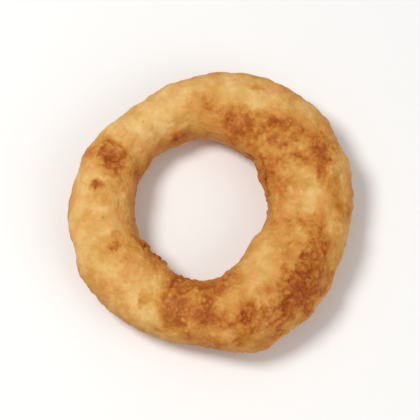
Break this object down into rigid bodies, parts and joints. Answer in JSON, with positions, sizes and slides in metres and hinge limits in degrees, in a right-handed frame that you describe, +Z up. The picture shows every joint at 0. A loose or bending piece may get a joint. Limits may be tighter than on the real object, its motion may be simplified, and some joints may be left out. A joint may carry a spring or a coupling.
{
  "type": "onion ring",
  "caption": "Battered, deep-fried onion ring lying flat: a plump, uneven closed loop of golden crust with browned craggy patches around an open hole.",
  "frame": {"origin": "on the surface it lies on, below the middle of its outline", "axes": "+Z up through the hole, +X towards the thickest limb, +Y along the slightly longer way across"},
  "size_m": [0.0762, 0.0788, 0.0185],
  "materials": {
    "fried_batter": "pale gold fried batter with orange-brown craggy patches, dark brown spots and a slight oil sheen"
  },
  "bodies": {
    "root": {"onion_ring": "fried_batter"}
  },
  "joints": []
}
